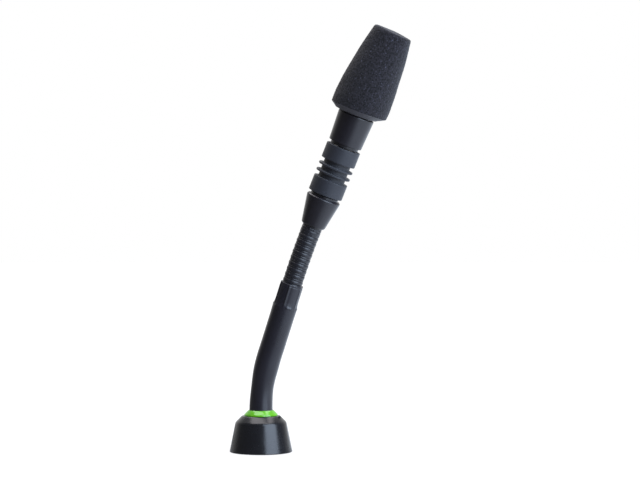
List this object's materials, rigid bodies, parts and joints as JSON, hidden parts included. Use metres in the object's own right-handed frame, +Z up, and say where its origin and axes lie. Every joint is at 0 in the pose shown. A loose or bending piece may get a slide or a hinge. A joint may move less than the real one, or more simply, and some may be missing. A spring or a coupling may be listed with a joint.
{
  "type": "gooseneck podium microphone",
  "caption": "Short gooseneck microphone: round foot with a lit ring, flexible ribbed neck, rubber isolator and tapered foam windscreen.",
  "frame": {"origin": "centre of the foot's flat underside", "axes": "+Z up along the foot's axis; the neck leans towards +X, in the XZ plane"},
  "size_m": [0.0742, 0.025, 0.1688],
  "materials": {
    "black_plastic": "moulded black plastic, satin",
    "satin_black_paint": "satin black coating",
    "steel": "nickel plated",
    "gold_plate": "gold plated",
    "circuit_board": "solder mask",
    "rubber": "matt moulded rubber",
    "foam": "open-cell foam",
    "acoustic_cloth": "fine woven cloth",
    "capsule_case": "satin",
    "light_ring": "translucent, lit green",
    "led_lens": "clear lens, lit"
  },
  "bodies": {
    "base": {"base_bell": "black_plastic", "base_plate": "satin_black_paint", "plate_screw_1": "steel", "plate_screw_2": "steel", "plate_screw_3": "steel", "contact_1": "gold_plate", "contact_2": "gold_plate", "contact_3": "gold_plate", "contact_4": "gold_plate", "connector_board": "circuit_board", "neck_collar": "steel", "base_ferrule": "steel", "lock_screw": "satin_black_paint", "led_board": "circuit_board", "led_1": "led_lens", "led_2": "led_lens", "led_3": "led_lens", "led_4": "led_lens", "light_ring": "light_ring", "neck_sleeve": "satin_black_paint", "signal_cable": "rubber"},
    "neck_link_1": {"neck_link_1": "satin_black_paint"},
    "neck_link_2": {"neck_link_2": "satin_black_paint"},
    "neck_link_3": {"neck_link_3": "satin_black_paint"},
    "neck_link_4": {"neck_link_4": "satin_black_paint"},
    "middle_ferrule": {"middle_ferrule": "satin_black_paint"},
    "neck_link_5": {"neck_link_5": "satin_black_paint"},
    "neck_link_6": {"neck_link_6": "satin_black_paint"},
    "neck_link_7": {"neck_link_7": "satin_black_paint"},
    "head_base": {"top_ferrule": "satin_black_paint", "adapter_cone": "black_plastic", "isolator_lower_stud": "steel"},
    "isolator": {"isolator_rubber": "rubber"},
    "preamp": {"isolator_upper_stud": "steel", "preamp_housing": "black_plastic", "preamp_board": "circuit_board", "preamp_chip": "black_plastic", "cartridge_contact_pin": "gold_plate"},
    "washer": {"cartridge_washer": "rubber"},
    "cartridge": {"cartridge_shell": "satin_black_paint", "capsule_board": "circuit_board", "electret_capsule": "capsule_case", "capsule_gasket": "rubber", "acoustic_cloth": "acoustic_cloth", "cartridge_grille": "satin_black_paint"},
    "windscreen": {"windscreen_ring": "black_plastic", "foam_windscreen": "foam"}
  },
  "joints": [
    {"name": "neck_lean_1", "type": "hinge", "parent": "base", "child": "neck_link_1", "pos_m": [0.00012, 0, 0.0207], "axis": [0, 1, 0], "range_deg": [-23, 9], "deforming": ["neck_sleeve", "signal_cable"]},
    {"name": "neck_sway_1", "type": "hinge", "parent": "neck_link_1", "child": "neck_link_2", "pos_m": [0.0011, 0, 0.02863], "axis": [0.9831, 0, -0.183], "range_deg": [-16, 16]},
    {"name": "neck_lean_2", "type": "hinge", "parent": "neck_link_2", "child": "neck_link_3", "pos_m": [0.00304, 0, 0.03639], "axis": [0, 1, 0], "range_deg": [-20.6, 11.4]},
    {"name": "neck_sway_2", "type": "hinge", "parent": "neck_link_3", "child": "neck_link_4", "pos_m": [0.00561, 0, 0.04397], "axis": [0.947, 0, -0.3214], "range_deg": [-16, 16]},
    {"name": "neck_lean_3", "type": "hinge", "parent": "neck_link_4", "child": "middle_ferrule", "pos_m": [0.00818, 0, 0.05154], "axis": [0, 1, 0], "range_deg": [-16, 16]},
    {"name": "neck_sway_3", "type": "hinge", "parent": "middle_ferrule", "child": "neck_link_5", "pos_m": [0.01448, 0, 0.07], "axis": [0.9435, 0, -0.3313], "range_deg": [-16, 16]},
    {"name": "neck_lean_4", "type": "hinge", "parent": "neck_link_5", "child": "neck_link_6", "pos_m": [0.01652, 0, 0.07564], "axis": [0, 1, 0], "range_deg": [-17.1, 14.9]},
    {"name": "neck_sway_4", "type": "hinge", "parent": "neck_link_6", "child": "neck_link_7", "pos_m": [0.01866, 0, 0.08124], "axis": [0.9306, 0, -0.3659], "range_deg": [-16, 16]},
    {"name": "neck_lean_5", "type": "hinge", "parent": "neck_link_7", "child": "head_base", "pos_m": [0.02091, 0, 0.0868], "axis": [0, 1, 0], "range_deg": [-16.9, 15.1]},
    {"name": "isolator_lean", "type": "hinge", "parent": "head_base", "child": "isolator", "pos_m": [0.03159, 0, 0.11177], "axis": [0, 1, 0], "range_deg": [-4, 4], "stiffness_Nm_per_rad": 0.35, "deforming": ["isolator_rubber"]},
    {"name": "isolator_sway", "type": "hinge", "parent": "isolator", "child": "preamp", "pos_m": [0.03159, 0, 0.11177], "axis": [0.9191, 0, -0.3939], "range_deg": [-4, 4], "stiffness_Nm_per_rad": 0.35},
    {"name": "cartridge_lift", "type": "slide", "parent": "preamp", "child": "washer", "axis": [0.3939, 0, 0.9191], "range_m": [0, 0.003]},
    {"name": "cartridge_turn", "type": "hinge", "parent": "washer", "child": "cartridge", "pos_m": [0.04204, 0, 0.13617], "axis": [0.3939, 0, 0.9191], "range_deg": [0, 1440]},
    {"name": "windscreen_pull_off", "type": "slide", "parent": "cartridge", "child": "windscreen", "axis": [0.3939, 0, 0.9191], "range_m": [0, 0.045]}
  ],
  "couplings": [
    {"joint": "cartridge_turn", "follows": "cartridge_lift", "rad_per_m": 8377.6}
  ]
}
